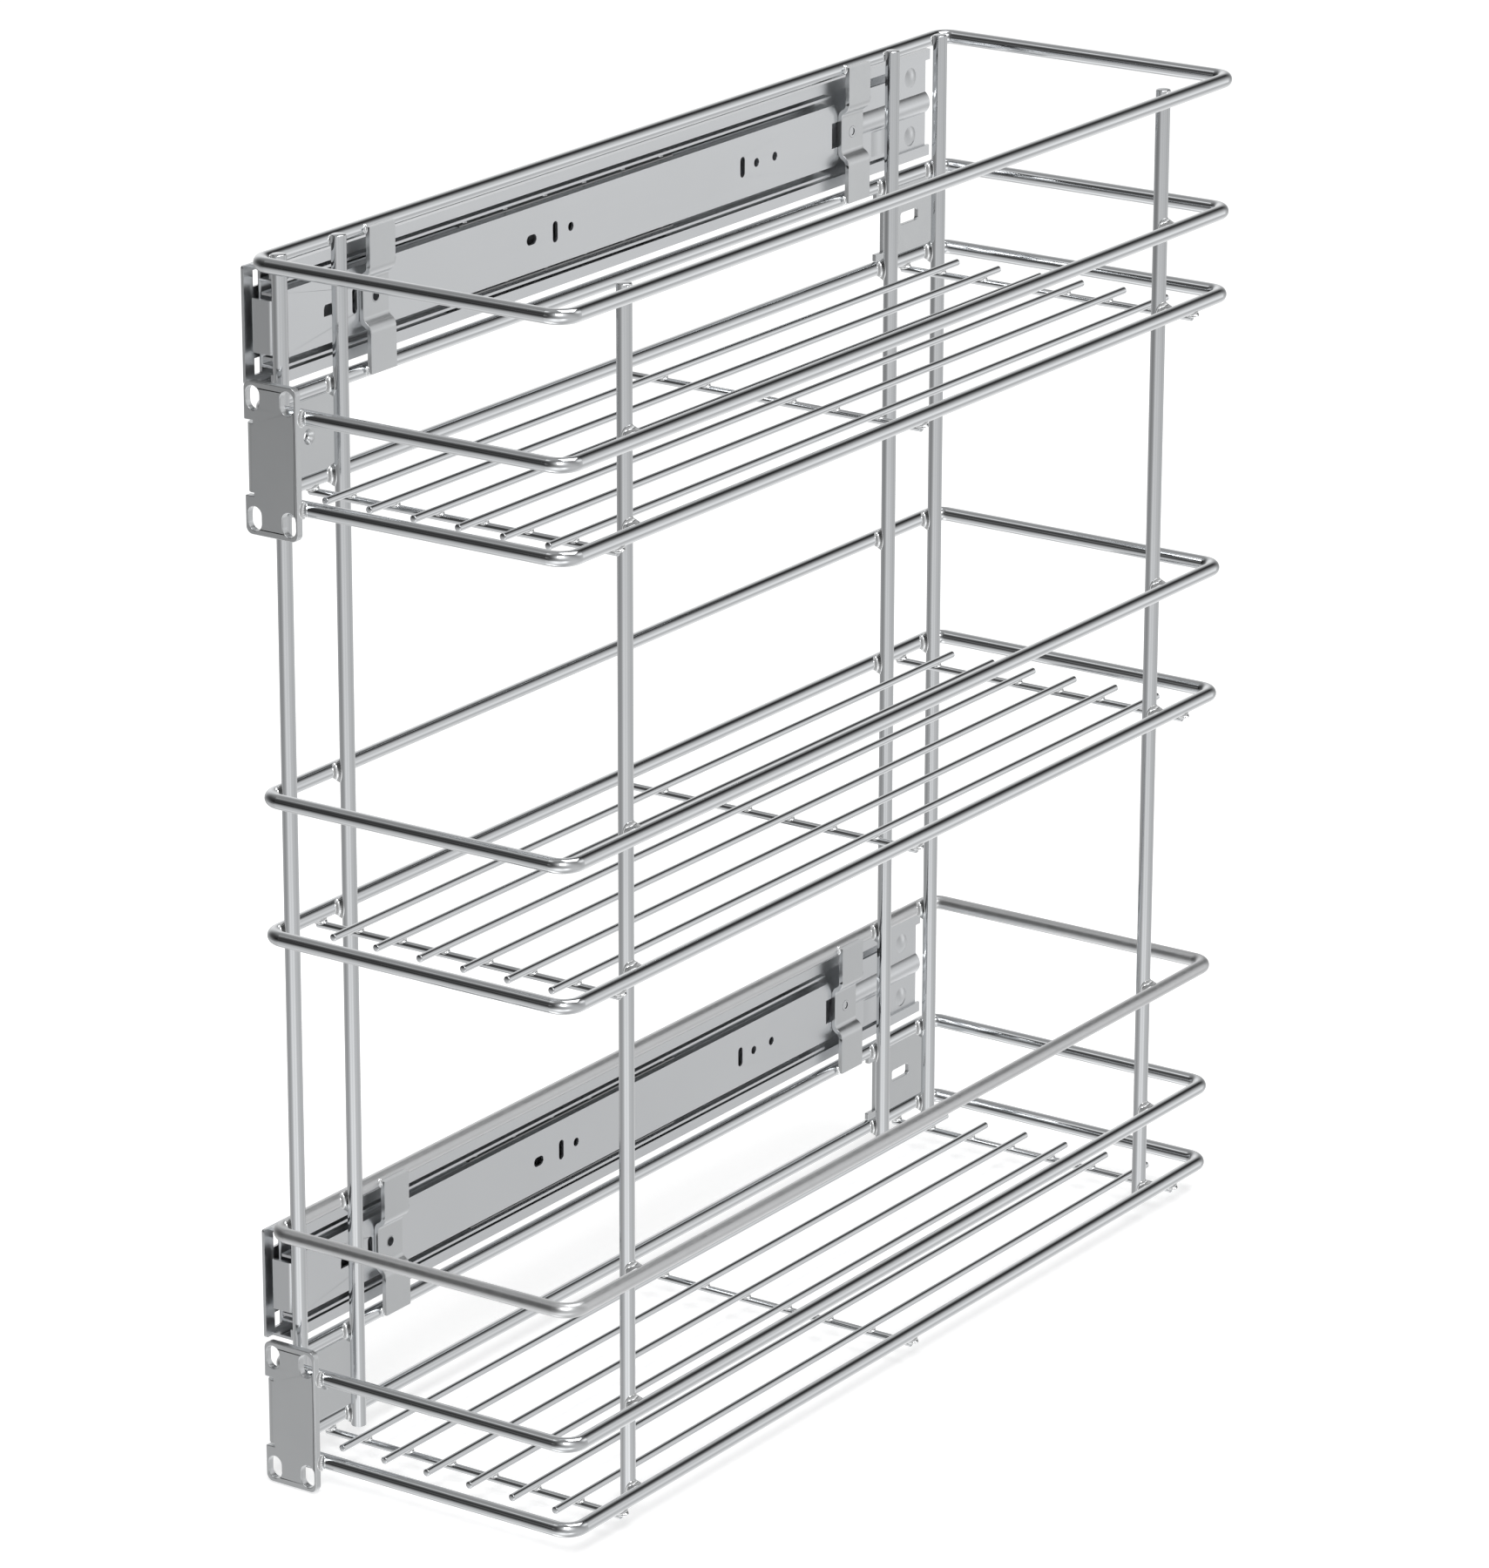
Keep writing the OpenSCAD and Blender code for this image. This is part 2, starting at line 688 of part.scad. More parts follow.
// The inner rail: web on the slide's face, flanges back into the slide, front and rear tabs
module inner_rail(z) {
    web = slide_t - rail_sheet;
    bend = bend_r + rail_sheet;
    corner_y = inner_rear - inner_corner;
    color("silver")
        translate([0, 0, z])
            difference() {
                union() {
                    box([web, inner_front + bend, -inner_half], [slide_t, corner_y, inner_half]);
                    box([web, corner_y, inner_corner - inner_half], [slide_t, inner_rear, inner_half - inner_corner]);
                    box([web, inner_rear, -rear_tab_h / 2], [slide_t, inner_rear + rear_tab_l, rear_tab_h / 2]);
                    for (s = [0, 1])
                        mirror([0, 0, s]) {
                            bar_x(2 * inner_corner, web, slide_t, corner_y, inner_half - inner_corner);
                            box([inner_back, inner_front + bend, inner_half - rail_sheet],
                                [slide_t, corner_y, inner_half]);
                        }
                    translate([slide_t - bend, inner_front + bend, -tab_h / 2])
                        rotate([0, 0, 270])
                            rotate_extrude(angle = 90)
                                translate([bend_r, 0])
                                    square([rail_sheet, tab_h]);
                    box([tab_wall_gap, inner_front, -tab_h / 2],
                        [slide_t - bend, inner_front + rail_sheet, tab_h / 2]);
                }
                for (s = [-1, 1])
                    race(inner_ball, inner_ball_x, s * inner_ball_z);
                inner_rail_holes(web - cut, slide_t + cut);
                for (y = [front_clip_y, rear_clip_y])
                    bar_x(rivet_d + 2 * rivet_gap, web - cut, slide_t + cut, y, 0);
            }
}

// The holes in the inner rail's web, cut from x0 to x1
module inner_rail_holes(x0, x1) {
    arch_y = inner_front + arch_in;
    slot_y = inner_rear - rear_slot_in;
    box([x0, arch_y - arch_w / 2, -arch_h / 2], [x1, arch_y + arch_w / 2, 0]);
    intersection() {
        bar_x(arch_w, x0, x1, arch_y, 0);
        box([x0, arch_y - arch_w / 2, -arch_h / 2], [x1, arch_y + arch_w / 2, arch_h / 2]);
    }
    slot_x(inner_front + front_slot_in, 0, front_slot_w, front_slot_h, x0, x1);
    slot_x(inner_front + oval_in, 0, oval_w, oval_h, x0, x1);
    slot_x(inner_front + front_adjust_in, 0, adjust_w, adjust_h, x0, x1);
    slot_x(inner_rear - rear_adjust_in, 0, adjust_w, adjust_h, x0, x1);
    for (y = [inner_front + front_round_in, inner_rear - first_round_in, inner_rear - second_round_in])
        bar_x(round_hole, x0, x1, y, 0);
    box([x0, slot_y - rear_slot_w / 2, -rear_slot_h / 2], [x1, slot_y + rear_slot_w / 2, rear_slot_h / 2]);
}

// The rear stop: a ribbed plate behind the outer rail's lips, with flanges at its rear
module rear_stop(z) {
    y1 = rail_rear - stop_in;
    y0 = y1 - stop_l;
    flange_y = y1 - stop_flange_l;
    face = lip_back - weld_gap;
    back = face - rail_sheet;
    half = slide_h / 2 - rail_sheet - weld_gap;
    rib_r = crown_radius(rib_half, rib_rise);
    rib_x = face + rib_rise - rib_r;
    color("gray")
        translate([0, 0, z])
            difference() {
                union() {
                    box([back, y0, -stop_bottom], [face, flange_y, stop_top]);
                    box([back, flange_y, -half], [face, y1, half]);
                    for (s = [0, 1])
                        mirror([0, 0, s])
                            box([rail_sheet + weld_gap, flange_y, half - rail_sheet], [face, y1, half]);
                    intersection() {
                        bar_y(2 * rib_r, rib_x, y0, y1, 0);
                        box([back, y0, -rib_half], [face + rib_rise + cut, y1, rib_half]);
                    }
                    for (s = [-1, 1])
                        stop_boss(face, (flange_y + y1) / 2, s * boss_z);
                    stop_pad(face, y1 - pad_in, -pad_drop);
                }
                bar_y(2 * (rib_r - rail_sheet), rib_x, y0 - cut, y1 + cut, 0);
            }
}

// Radius of a crown from its half width and its rise
function crown_radius(half, rise) = (half * half + rise * rise) / (2 * rise);

// A round boss of the rear stop, a shallow dome
module stop_boss(face, y, z) {
    r = crown_radius(boss_d / 2, boss_rise);
    intersection() {
        translate([face + boss_rise - r, y, z])
            rotate([0, 90, 0])
                sphere(r = r);
        bar_x(boss_d + 2 * cut, face - rail_sheet / 2, face + boss_rise + cut, y, z);
    }
}

// The crowned pad of the rear stop
module stop_pad(face, y, z) {
    r = crown_radius(pad_l / 2, pad_rise);
    intersection() {
        translate([face + pad_rise - r, y, z - pad_h / 2])
            cylinder(r = r, h = pad_h);
        box([face - rail_sheet / 2, y - pad_l, z - pad_h], [face + pad_rise + cut, y + pad_l, z + pad_h]);
    }
}

// Y of each ball in a row, spread over a cage from y0 to y1
function ball_places(y0, y1) =
    [for (i = [0 : row_balls - 1])
        y0 + cage_end + i * (y1 - y0 - 2 * cage_end) / (row_balls - 1)];

// A cage: a flat channel whose two flanges carry the ball rows
module cage(x, y0, y1, ball, ball_x, ball_z) {
    half = ball_z + cage_sheet / 2;
    color("gray")
        difference() {
            union() {
                box([x, y0, -half], [x + cage_sheet, y1, half]);
                for (s = [0, 1])
                    mirror([0, 0, s])
                        box([x, y0, half - cage_sheet], [ball_x + ball / 2 + cage_edge, y1, half]);
            }
            for (y = ball_places(y0, y1), s = [0, 1])
                mirror([0, 0, s])
                    translate([ball_x, y, ball_z - cage_sheet / 2 - cut])
                        cylinder(d = ball + 2 * pocket_gap, h = cage_sheet + 2 * cut);
        }
}

// Two rows of balls, above and below the slide's middle
module balls(y0, y1, ball, ball_x, ball_z) {
    color("lightgray")
        for (y = ball_places(y0, y1), s = [-1, 1])
            translate([ball_x, y, s * ball_z])
                sphere(d = ball);
}

module outer_cage(z) {
    translate([0, 0, z])
        cage(outer_cage_x, outer_cage_front, outer_cage_rear, outer_ball, outer_ball_x, outer_ball_z);
}

module inner_cage(z) {
    translate([0, 0, z])
        cage(inner_cage_x, inner_cage_front, inner_cage_rear, inner_ball, inner_ball_x, inner_ball_z);
}

module outer_balls(z) {
    translate([0, 0, z])
        balls(outer_cage_front, outer_cage_rear, outer_ball, outer_ball_x, outer_ball_z);
}

module inner_balls(z) {
    translate([0, 0, z])
        balls(inner_cage_front, inner_cage_rear, inner_ball, inner_ball_x, inner_ball_z);
}

module upper_guard_ring() { ring(upper_z + guard_half); }
module upper_mid_ring() { ring(upper_z - guard_half); }
module upper_base_ring() { ring(upper_z - base_drop); }
module middle_guard_ring() { ring(middle_base_z + 2 * guard_half); }
module middle_base_ring() { ring(middle_base_z); }
module lower_guard_ring() { ring(lower_z + guard_half); }
module lower_mid_ring() { ring(lower_z - guard_half); }
module lower_base_ring() { ring(lower_z - base_drop); }

module front_left_post() {
    post(ring_left + post_in, ring_front + ring_corner + front_post_past_corner);
}
module second_left_post() { post(ring_left + post_in, ring_front + second_post_in); }
module third_left_post() { post(ring_left + post_in, ring_rear - third_post_in); }
module rear_left_post() {
    post(ring_left + post_in, ring_rear - ring_corner - rear_post_past_corner);
}
module front_right_post() { post(ring_right - post_in, ring_front + right_front_post_in); }
module rear_right_post() { post(ring_right - post_in, ring_rear - right_rear_post_in); }

module upper_cross_wires() { cross_wires(upper_z - base_drop); }
module middle_cross_wires() { cross_wires(middle_base_z); }
module lower_cross_wires() { cross_wires(lower_z - base_drop); }
module upper_long_wires() { long_floor_wires(upper_z - base_drop); }
module middle_long_wires() { long_floor_wires(middle_base_z); }
module lower_long_wires() { long_floor_wires(lower_z - base_drop); }

module upper_door_bracket() { door_bracket(upper_z - bracket_drop); }
module lower_door_bracket() { door_bracket(lower_z - bracket_drop); }
module upper_rear_bracket() { rear_bracket(upper_z - bracket_drop); }
module lower_rear_bracket() { rear_bracket(lower_z - bracket_drop); }

module upper_front_clip() { clip(front_clip_y, upper_z); }
module upper_rear_clip() { clip(rear_clip_y, upper_z); }
module lower_front_clip() { clip(front_clip_y, lower_z); }
module lower_rear_clip() { clip(rear_clip_y, lower_z); }
module upper_front_rivet() { rivet(front_clip_y, upper_z, true); }
module upper_rear_rivet() { rivet(rear_clip_y, upper_z, false); }
module lower_front_rivet() { rivet(front_clip_y, lower_z, true); }
module lower_rear_rivet() { rivet(rear_clip_y, lower_z, false); }

module upper_outer_rail() { outer_rail(upper_z); }
module lower_outer_rail() { outer_rail(lower_z); }
module upper_middle_rail() { middle_rail(upper_z); }
module lower_middle_rail() { middle_rail(lower_z); }
module upper_inner_rail() { inner_rail(upper_z); }
module lower_inner_rail() { inner_rail(lower_z); }
module upper_rear_stop() { rear_stop(upper_z); }
module lower_rear_stop() { rear_stop(lower_z); }
module upper_outer_cage() { outer_cage(upper_z); }
module lower_outer_cage() { outer_cage(lower_z); }
module upper_inner_cage() { inner_cage(upper_z); }
module lower_inner_cage() { inner_cage(lower_z); }
module upper_outer_balls() { outer_balls(upper_z); }
module lower_outer_balls() { outer_balls(lower_z); }
module upper_inner_balls() { inner_balls(upper_z); }
module lower_inner_balls() { inner_balls(lower_z); }

upper_guard_ring();
upper_mid_ring();
upper_base_ring();
middle_guard_ring();
middle_base_ring();
lower_guard_ring();
lower_mid_ring();
lower_base_ring();
front_left_post();
second_left_post();
third_left_post();
rear_left_post();
front_right_post();
rear_right_post();
upper_cross_wires();
middle_cross_wires();
lower_cross_wires();
upper_long_wires();
middle_long_wires();
lower_long_wires();
upper_door_bracket();
lower_door_bracket();
upper_rear_bracket();
lower_rear_bracket();
upper_front_clip();
upper_rear_clip();
lower_front_clip();
lower_rear_clip();
upper_front_rivet();
upper_rear_rivet();
lower_front_rivet();
lower_rear_rivet();
upper_outer_rail();
lower_outer_rail();
upper_middle_rail();
lower_middle_rail();
upper_inner_rail();
lower_inner_rail();
upper_rear_stop();
lower_rear_stop();
upper_outer_cage();
lower_outer_cage();
upper_inner_cage();
lower_inner_cage();
upper_outer_balls();
lower_outer_balls();
upper_inner_balls();
lower_inner_balls();
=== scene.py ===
import bpy
import bmesh
import math
import numpy as np
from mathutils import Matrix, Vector


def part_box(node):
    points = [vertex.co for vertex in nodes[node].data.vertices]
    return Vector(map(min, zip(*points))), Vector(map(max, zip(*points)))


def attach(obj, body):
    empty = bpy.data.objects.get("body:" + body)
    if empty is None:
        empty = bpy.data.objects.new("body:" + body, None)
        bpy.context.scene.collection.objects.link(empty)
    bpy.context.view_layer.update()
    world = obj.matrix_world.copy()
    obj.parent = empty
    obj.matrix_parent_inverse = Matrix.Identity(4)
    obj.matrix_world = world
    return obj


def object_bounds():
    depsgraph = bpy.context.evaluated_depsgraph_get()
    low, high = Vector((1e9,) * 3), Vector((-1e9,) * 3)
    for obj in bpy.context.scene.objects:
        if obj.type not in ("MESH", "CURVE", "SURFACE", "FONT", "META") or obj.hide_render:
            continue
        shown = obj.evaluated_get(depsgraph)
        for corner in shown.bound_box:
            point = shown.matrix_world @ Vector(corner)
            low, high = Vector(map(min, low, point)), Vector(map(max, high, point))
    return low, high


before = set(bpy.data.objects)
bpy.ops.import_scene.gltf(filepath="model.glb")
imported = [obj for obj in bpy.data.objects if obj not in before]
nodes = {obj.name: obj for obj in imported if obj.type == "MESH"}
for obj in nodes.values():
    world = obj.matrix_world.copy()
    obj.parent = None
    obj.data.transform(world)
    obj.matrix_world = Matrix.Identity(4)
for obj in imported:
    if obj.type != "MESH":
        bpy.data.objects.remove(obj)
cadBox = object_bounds()
scene = bpy.context.scene
mm = 0.001
print("frame loaded:", len(nodes), "nodes")

# The camera stands in front of the unit and to its right, looking down on it. Its place, turns
# and lens were solved from wires in the photo.
cameraSpec = {
    "place": (1.58852, -2.21127, 0.86929),
    "down": 19.402,        # degrees below level
    "turn": 34.705,        # degrees from +Y towards -X
    "focalPixels": 8076.4,
    "imageSize": (1709, 1800),
    "centrePixel": (794.69, 1015.49),
    "sensor": 36.0,        # mm on the longer side
    "nearest": 0.05,       # metres that the camera sees from and to
    "farthest": 60.0,
}


# The lens is the focal length in pixels over the picture's height, times the sensor. The shift
# moves the picture's middle to the pixel that the camera looks at.
def addCamera(spec):
    width, height = spec["imageSize"]
    data = bpy.data.cameras.new("camera")
    data.sensor_width = spec["sensor"]
    data.lens = spec["focalPixels"] / height * spec["sensor"]
    data.shift_x = (width / 2 - spec["centrePixel"][0]) / height
    data.shift_y = (spec["centrePixel"][1] - height / 2) / height
    data.clip_start = spec["nearest"]
    data.clip_end = spec["farthest"]
    camera = bpy.data.objects.new("camera", data)
    camera.location = spec["place"]
    camera.rotation_euler = (math.radians(90 - spec["down"]), 0.0, math.radians(spec["turn"]))
    scene.collection.objects.link(camera)
    scene.camera = camera


addCamera(cameraSpec)
print("camera placed")


# A hex colour's parts over 255, each turned linear by the sRGB curve.
def hexColour(text):
    parts = [int(text[i:i + 2], 16) / 255 for i in (1, 3, 5)]
    linear = [c / 12.92 if c <= 0.04045 else ((c + 0.055) / 1.055) ** 2.4 for c in parts]
    return (*linear, 1.0)


# Adds one node and sets what is given: its settings, its inputs' values, and its links.
def addNode(tree, kind, settings=None, inputs=None, links=None):
    node = tree.nodes.new(kind)
    for name, value in (settings or {}).items():
        setattr(node, name, value)
    for name, value in (inputs or {}).items():
        node.inputs[name].default_value = value
    for name, source in (links or {}).items():
        tree.links.new(source, node.inputs[name])
    return node


# What a metal has unless its own values say otherwise. A pattern's "low" and "high" are where the
# grains' roughness starts and stops changing. Relief is how much of its depth in mm is used.
metalSpec = {
    "draw": (1.0, 1.0, 1.0), "grainDetail": 3.0, "cloudDetail": 2.0, "low": 0.3, "high": 0.7,
    "relief": 0.0, "reliefDepth": 0.0,
}
# Where a Mix node keeps its inputs and outputs, which share their names
mixSocket = {"share": 0, "firstNumber": 2, "secondNumber": 3, "firstColour": 6, "secondColour": 7,
             "colourOut": 2}


# A metal with two patterns in the object's own space. Clouds of one size mix its two colours,
# and grains of another, drawn out along an axis by "draw", set its roughness and a fine relief.
# A pattern's scale is one over its size in metres.
def metalMaterial(name, values):
    spec = {**metalSpec, **values}
    material = bpy.data.materials.new(name)
    material.use_nodes = True
    tree = material.node_tree
    tree.nodes.clear()
    place = addNode(tree, "ShaderNodeTexCoord")
    drawn = addNode(tree, "ShaderNodeMapping", inputs={"Scale": spec["draw"]},
                    links={"Vector": place.outputs["Object"]})
    grain = addNode(tree, "ShaderNodeTexNoise",
                    inputs={"Scale": 1 / (spec["grainSize"] * mm), "Detail": spec["grainDetail"]},
                    links={"Vector": drawn.outputs["Vector"]})
    cloud = addNode(tree, "ShaderNodeTexNoise",
                    inputs={"Scale": 1 / (spec["cloudSize"] * mm), "Detail": spec["cloudDetail"]},
                    links={"Vector": place.outputs["Object"]})
    tint = addNode(tree, "ShaderNodeMix", {"data_type": "RGBA"},
                   inputs={mixSocket["firstColour"]: hexColour(spec["dark"]),
                           mixSocket["secondColour"]: hexColour(spec["light"])},
                   links={mixSocket["share"]: cloud.outputs["Fac"]})
    rough = addNode(tree, "ShaderNodeMapRange",
                    inputs={"From Min": spec["low"], "From Max": spec["high"],
                            "To Min": spec["rough"][0], "To Max": spec["rough"][1]},
                    links={"Value": grain.outputs["Fac"]})
    relief = addNode(tree, "ShaderNodeBump",
                     inputs={"Strength": spec["relief"], "Distance": spec["reliefDepth"] * mm},
                     links={"Height": grain.outputs["Fac"]})
    metal = addNode(tree, "ShaderNodeBsdfPrincipled", inputs={"Metallic": 1.0},
                    links={"Base Color": tint.outputs[mixSocket["colourOut"]],
                           "Roughness": rough.outputs["Result"],
                           "Normal": relief.outputs["Normal"]})
    addNode(tree, "ShaderNodeOutputMaterial", links={"Surface": metal.outputs["BSDF"]})
    return material


# Bright chromium over nickel on drawn steel wire: a mirror that gives clean bands along the wire.
wireChrome = metalMaterial("chromePlatedDrawnWire", {
    "dark": "#C6C8CA", "light": "#CDCFD1", "grainSize": 5.0, "cloudSize": 40.0,
    "rough": (0.07, 0.11)})
# The same wire from a duller plating bath, as the lowest guard wire is: satin.
satinChrome = metalMaterial("satinChromePlatedWire", {
    "dark": "#C6C7C8", "light": "#CDCECF", "grainSize": 3.0, "cloudSize": 40.0,
    "rough": (0.34, 0.40)})
# Chromium over weld metal: softer than the wire and a little uneven. Its colour is lighter than
# the wire's, a painted highlight that makes the welds shine white.
paintedHighlightWeldChrome = metalMaterial("chromePlatedWeldPaintedHighlight", {
    "dark": "#E2E4E5", "light": "#EDEEEF", "grainSize": 1.4, "cloudSize": 9.0,
    "rough": (0.16, 0.22), "relief": 0.03, "reliefDepth": 0.03})
# Bright zinc on rolled strip: satin, with faint lines along the rail.
railZinc = metalMaterial("brightZincRolledStrip", {
    "dark": "#CCCED0", "light": "#D3D5D7", "draw": (1.0, 0.03, 1.0), "grainSize": 3.0,
    "cloudSize": 70.0, "rough": (0.28, 0.30)})
# Nickel plated pressed sheet: satin, with no direction.
sheetNickel = metalMaterial("satinNickelPressedSheet", {
    "dark": "#C4C6C8", "light": "#CCCECF", "grainSize": 3.0, "cloudSize": 25.0,
    "rough": (0.29, 0.33)})
# Plain steel strip with a film of grease: darker.
cageSteel = metalMaterial("greasedSteelStrip", {
    "dark": "#7C7D7E", "light": "#8E8F90", "draw": (1.0, 0.05, 1.0), "grainSize": 1.2,
    "cloudSize": 16.0, "rough": (0.30, 0.45), "relief": 0.05, "reliefDepth": 0.02})
# Hardened, polished bearing balls: a mirror again, a little darker than the wire.
ballSteel = metalMaterial("polishedBearingSteel", {
    "dark": "#B4B5B6", "light": "#C0C1C2", "grainSize": 2.0, "cloudSize": 10.0,
    "rough": (0.06, 0.10)})

# A node's kind is the last word of its name.
kinds = {name: name.split("_")[-1] for name in nodes}
sheetKinds = ("bracket", "clip", "rail", "stop")
finishes = {"ring": wireChrome, "post": wireChrome, "wires": wireChrome, "bracket": sheetNickel,
            "clip": sheetNickel, "rivet": railZinc, "rail": railZinc, "stop": railZinc,
            "cage": cageSteel, "balls": ballSteel}
satinNode = "lower_guard_ring"
# Thin wires mirrored in thin wires come out as grit, so metal sees the sheets and rails alone.
for name, node in nodes.items():
    node.visible_glossy = kinds[name] in sheetKinds
    node.data.materials.clear()
    node.data.materials.append(satinChrome if name == satinNode else finishes[kinds[name]])
print("finishes set")

# Widths in mm, angle in degrees
edgeSpec = {"width": 0.25, "segments": 2, "angle": 40.0, "merge": 0.002, "weight": 100}


# Eases the cut edges of the pressed and rolled sheets: corners sharper than the angle are rounded
# over the width. A node's points nearer than "merge" are joined first, and at the end the large
# flat faces keep their own shading.
def easeEdges(spec):
    for name, node in nodes.items():
        if kinds[name] not in sheetKinds:
            continue
        join = node.modifiers.new("join", "WELD")
        join.merge_threshold = spec["merge"] * mm
        ease = node.modifiers.new("ease", "BEVEL")
        ease.width = spec["width"] * mm
        ease.segments = spec["segments"]
        ease.limit_method = "ANGLE"
        ease.angle_limit = math.radians(spec["angle"])
        ease.use_clamp_overlap = True
        even = node.modifiers.new("even", "WEIGHTED_NORMAL")
        even.weight = spec["weight"]
        even.keep_sharp = True


easeEdges(edgeSpec)
print("sheet edges eased")


# Makes an object of points in mm and faces, shaded smooth, and lets it ride on a body. Its faces
# are turned outwards by recalculating them on the closed mesh.
def addPiece(name, points, faces, material, body):
    mesh = bpy.data.meshes.new(name)
    mesh.from_pydata(points * mm, [], faces)
    shell = bmesh.new()
    shell.from_mesh(mesh)
    bmesh.ops.recalc_face_normals(shell, faces=shell.faces)
    shell.to_mesh(mesh)
    shell.free()
    mesh.polygons.foreach_set("use_smooth", np.ones(len(mesh.polygons), dtype=bool))
    mesh.materials.append(material)
    piece = bpy.data.objects.new(name, mesh)
    scene.collection.objects.link(piece)
    piece.visible_glossy = False
    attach(piece, body)


# Faces of a grid of rows whose columns close on themselves. The rows close too, or each end row
# is closed by one flat face.
def tubeFaces(rows, columns, closed):
    i, j = np.meshgrid(np.arange(rows if closed else rows - 1), np.arange(columns), indexing="ij")
    k, m = (i + 1) % rows, (j + 1) % columns
    walls = np.stack([i * columns + j, k * columns + j, k * columns + m, i * columns + m], axis=-1)
    first = list(range(columns))
    last = list(range((rows - 1) * columns, rows * columns))
    caps = [] if closed else [first, last]
    return walls.reshape(-1, 4).tolist() + caps


# Puts one tube of rows x columns points at many places: each point times the three axes, plus
# the place. The first axis is along the wire, the second is the side, the third their product.
def repeatTube(local, closed, places, along, side):
    faces = tubeFaces(local.shape[0], local.shape[1], closed)
    axes = [along, side, np.cross(along, side)]
    points = local.reshape(-1, 3) @ np.asarray(axes) + np.asarray(places, dtype=float)[:, None]
    step = local.size // 3
    copies = [[v + n * step for v in face] for n in range(len(places)) for face in faces]
    return points.reshape(-1, 3), copies


# Joins forms into one mesh: each form's faces count on from the points before it.
def joinForms(forms):
    points, faces, count = [], [], 0
    for somePoints, someFaces in forms:
        points.append(somePoints)
        faces += [[v + count for v in face] for face in someFaces]
        count += len(somePoints)
    return np.concatenate(points), faces


# How finely a weld is drawn. "sink" is in mm. A bead's ends keep the size that "leastBead" or
# "leastEdge" gives.
skinSpec = {"arcSteps": 7, "sink": 0.3, "turns": 36, "sections": 15,
            "leastBead": 0.002, "leastEdge": 0.01}


# The skin that a ball leaves between two surfaces: at each place the arc on the ball from its
# one contact to the other, each contact a way from the ball's middle, turned by equal angles.
# Two points sunk below the contacts close each section inside the metal.
def ballSkin(centre, first, second, ball):
    steps, sink = skinSpec["arcSteps"], skinSpec["sink"]
    ball = np.broadcast_to(ball, len(centre))[:, None, None]
    angle = np.arccos(np.clip((first * second).sum(-1), -1, 1))[:, None, None]
    t = np.linspace(0, 1, steps)[None, :, None]
    way = np.sin((1 - t) * angle) * first[:, None] + np.sin(t * angle) * second[:, None]
    way = way / np.sin(angle)
    arc = centre[:, None] + ball * way
    sunk = [arc[:, -1:] + sink * second[:, None], arc[:, :1] + sink * first[:, None]]
    return np.concatenate([arc] + sunk, axis=1)


# The weld between two crossing wires: the ball rolls right round the crossing. At each turn its
# middle has the height -ball x cos(2 turn), and lies where both wires, grown by the ball, meet.
# The low wire runs along the first axis, and the high one along the second.
def crossWelds(places, along, across, lowRadius, highRadius, ball):
    turns = skinSpec["turns"]
    turn = np.linspace(0, 2 * np.pi, turns, endpoint=False) + np.pi / turns
    height = -ball * np.cos(2 * turn)
    a = np.sign(np.sin(turn)) * np.sqrt((highRadius + ball) ** 2 - (height - highRadius) ** 2)
    b = np.sign(np.cos(turn)) * np.sqrt((lowRadius + ball) ** 2 - (height + lowRadius) ** 2)
    centre = np.stack([a, b, height], axis=-1)
    toLow = np.stack([0 * a, -b, -height - lowRadius], axis=-1) / (lowRadius + ball)
    toHigh = np.stack([-a, 0 * b, highRadius - height], axis=-1) / (highRadius + ball)
    skin = ballSkin(centre, toLow, toHigh, ball)
    return repeatTube(skin, True, places, along, across)


# Steps from -1 to 1 along a weld, closer towards its ends: the cosines of equal angles
def weldSteps():
    return np.cos(np.linspace(np.pi, 0, skinSpec["sections"]))


# A bead of weld along a wire beside a sheet: the ball stands on the sheet's face, at "offset"
# from the wire's middle, and leans on the wire. It shrinks towards both ends of the bead as the
# fourth root of 1 - t squared.
def lineWelds(places, along, outward, radius, offset, ball, length):
    t = weldSteps()
    size = ball * np.clip(1 - t ** 2, skinSpec["leastBead"], 1) ** 0.25
    side = offset + size
    rise = np.sqrt((radius + size) ** 2 - side ** 2)
    centre = np.stack([t * length / 2, side, rise], axis=-1)
    toSheet = np.tile([0.0, -1.0, 0.0], (len(t), 1))
    toWire = np.stack([0 * t, -side, -rise], axis=-1) / (radius + size)[:, None]
    skin = ballSkin(centre, toSheet, toWire, size)
    return repeatTube(skin, False, places, along, outward)


# A weld in the corner where a wire passes a sheet's edge: the ball stands on the edge's face,
# which looks along the wire, and goes round the wire by up to "reach" degrees each way of the
# side where the sheet is, and shrinks at both ends as the square root of 1 - t squared.
def edgeWelds(places, along, toSheet, radius, ball, reach):
    t = weldSteps()
    size = ball * np.sqrt(np.clip(1 - t ** 2, skinSpec["leastEdge"], 1))
    turn = np.radians(reach) * t
    around = np.stack([0 * t, np.cos(turn), np.sin(turn)], axis=-1)
    centre = around * (radius + size)[:, None]
    centre[:, 0] = size
    toEdge = np.tile([-1.0, 0.0, 0.0], (len(t), 1))
    skin = ballSkin(centre, toEdge, -around, size)
    return repeatTube(skin, False, places, along, toSheet)


# The lowest and highest corners of a node, in mm
def corners(name):
    return (np.array(c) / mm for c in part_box(name))


# The middle of a node, in mm
def middle(name):
    return sum(corners(name)) / 2


xAxis, yAxis, zAxis = np.eye(3)
floors = ["upper", "middle", "lower"]
slides = ["upper", "lower"]
rings = [name for name in nodes if kinds[name] == "ring"]
posts = [name for name in nodes if kinds[name] == "post"]
ringLow, ringHigh = corners("upper_guard_ring")
